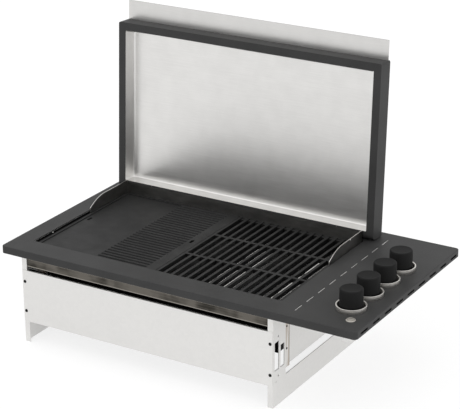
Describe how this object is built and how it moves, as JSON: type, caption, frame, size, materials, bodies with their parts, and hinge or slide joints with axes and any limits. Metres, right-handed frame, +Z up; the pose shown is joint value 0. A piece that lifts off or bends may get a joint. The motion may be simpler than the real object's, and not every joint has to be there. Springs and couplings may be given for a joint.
{
  "type": "built-in gas grill",
  "caption": "Built-in gas grill that drops into a bench: sheet frame, firebox with tube burners, cast hotplate and bar grill, control area with push-and-turn knobs, and a hinged lid.",
  "frame": {"origin": "on the floor under the middle of the top panel, which is the middle of the whole box", "axes": "+X along the front, from the cooking plates towards the knobs; +Y from the front to the lid's hinge; +Z up"},
  "size_m": [1, 0.56, 0.7689],
  "materials": {
    "coated_steel": "charcoal textured powder coat",
    "galvanised_steel": "smooth galvanised sheet",
    "stainless_steel": "brushed stainless",
    "dark_enamel": "black vitreous enamel",
    "aluminium": "mill finish",
    "cast_iron": "seasoned cast iron",
    "steel_tube": "zinc plated",
    "brass": "turned brass",
    "chrome": "polished chrome",
    "black_plastic": "matte black",
    "black_screw": "black oxide",
    "ceramic": "unglazed ceramic"
  },
  "bodies": {
    "chassis": {"top_panel": "coated_steel", "left_end_frame": "galvanised_steel", "right_end_frame": "galvanised_steel", "front_panel": "galvanised_steel", "rear_panel": "galvanised_steel", "left_heat_shield": "galvanised_steel", "right_heat_shield": "galvanised_steel", "left_hinge_bracket": "galvanised_steel", "right_hinge_bracket": "galvanised_steel", "front_rail": "stainless_steel", "rear_rail": "stainless_steel", "left_side_guard": "stainless_steel", "right_side_guard": "stainless_steel", "rear_guard": "stainless_steel", "burner_1": "stainless_steel", "burner_2": "stainless_steel", "burner_3": "stainless_steel", "burner_4": "stainless_steel", "flame_tamer_1": "stainless_steel", "flame_tamer_2": "stainless_steel", "flame_tamer_3": "stainless_steel", "flame_tamer_4": "stainless_steel", "firebox_front": "dark_enamel", "firebox_rear": "dark_enamel", "firebox_left": "dark_enamel", "firebox_right": "dark_enamel", "tray_carrier": "dark_enamel", "plate_frame": "dark_enamel", "drip_tray": "aluminium", "feed_pipe_1": "aluminium", "feed_pipe_2": "aluminium", "feed_pipe_3": "aluminium", "feed_pipe_4": "aluminium", "manifold": "steel_tube", "injectors": "brass", "valve_body_1": "brass", "valve_body_2": "brass", "valve_body_3": "brass", "valve_body_4": "brass", "knob_bezels": "chrome", "igniter_barrel": "chrome", "igniter_nut": "chrome", "panel_screws": "black_screw", "spark_electrodes": "ceramic"},
    "lid": {"lid_shell": "coated_steel", "lid_liner": "stainless_steel", "lid_handle": "stainless_steel", "hinge_pins": "stainless_steel", "hinge_cradles": "galvanised_steel"},
    "igniter_button": {"igniter_button": "chrome"},
    "hotplate": {"hotplate": "cast_iron"},
    "grill": {"grill": "cast_iron"},
    "valve_stem_1": {"valve_stem_1": "stainless_steel"},
    "knob_1": {"knob_1": "black_plastic"},
    "valve_stem_2": {"valve_stem_2": "stainless_steel"},
    "knob_2": {"knob_2": "black_plastic"},
    "valve_stem_3": {"valve_stem_3": "stainless_steel"},
    "knob_3": {"knob_3": "black_plastic"},
    "valve_stem_4": {"valve_stem_4": "stainless_steel"},
    "knob_4": {"knob_4": "black_plastic"}
  },
  "joints": [
    {"name": "lid_hinge", "type": "hinge", "parent": "chassis", "child": "lid", "pos_m": [-0.088, 0.22018, 0.276], "axis": [-1, 0, 0], "range_deg": [-93, 0]},
    {"name": "stem_turn_1", "type": "hinge", "parent": "chassis", "child": "valve_stem_1", "pos_m": [0.43, -0.17, 0.26], "axis": [0, 0, 1], "range_deg": [0, 210]},
    {"name": "knob_push_1", "type": "slide", "parent": "valve_stem_1", "child": "knob_1", "axis": [0, 0, 1], "range_m": [-0.003, 0], "stiffness_N_per_m": 1500, "springref_m": 0.002},
    {"name": "stem_turn_2", "type": "hinge", "parent": "chassis", "child": "valve_stem_2", "pos_m": [0.43, -0.0835, 0.26], "axis": [0, 0, 1], "range_deg": [0, 210]},
    {"name": "knob_push_2", "type": "slide", "parent": "valve_stem_2", "child": "knob_2", "axis": [0, 0, 1], "range_m": [-0.003, 0], "stiffness_N_per_m": 1500, "springref_m": 0.002},
    {"name": "stem_turn_3", "type": "hinge", "parent": "chassis", "child": "valve_stem_3", "pos_m": [0.43, 0.003, 0.26], "axis": [0, 0, 1], "range_deg": [0, 210]},
    {"name": "knob_push_3", "type": "slide", "parent": "valve_stem_3", "child": "knob_3", "axis": [0, 0, 1], "range_m": [-0.003, 0], "stiffness_N_per_m": 1500, "springref_m": 0.002},
    {"name": "stem_turn_4", "type": "hinge", "parent": "chassis", "child": "valve_stem_4", "pos_m": [0.43, 0.0895, 0.26], "axis": [0, 0, 1], "range_deg": [0, 210]},
    {"name": "knob_push_4", "type": "slide", "parent": "valve_stem_4", "child": "knob_4", "axis": [0, 0, 1], "range_m": [-0.003, 0], "stiffness_N_per_m": 1500, "springref_m": 0.002},
    {"name": "igniter_push", "type": "slide", "parent": "chassis", "child": "igniter_button", "axis": [0, 0, 1], "range_m": [-0.004, 0], "stiffness_N_per_m": 1500, "springref_m": 0.002},
    {"name": "hotplate_lift", "type": "slide", "parent": "chassis", "child": "hotplate", "axis": [0, 0, 1], "range_m": [0, 0.06]},
    {"name": "grill_lift", "type": "slide", "parent": "chassis", "child": "grill", "axis": [0, 0, 1], "range_m": [0, 0.06]}
  ]
}
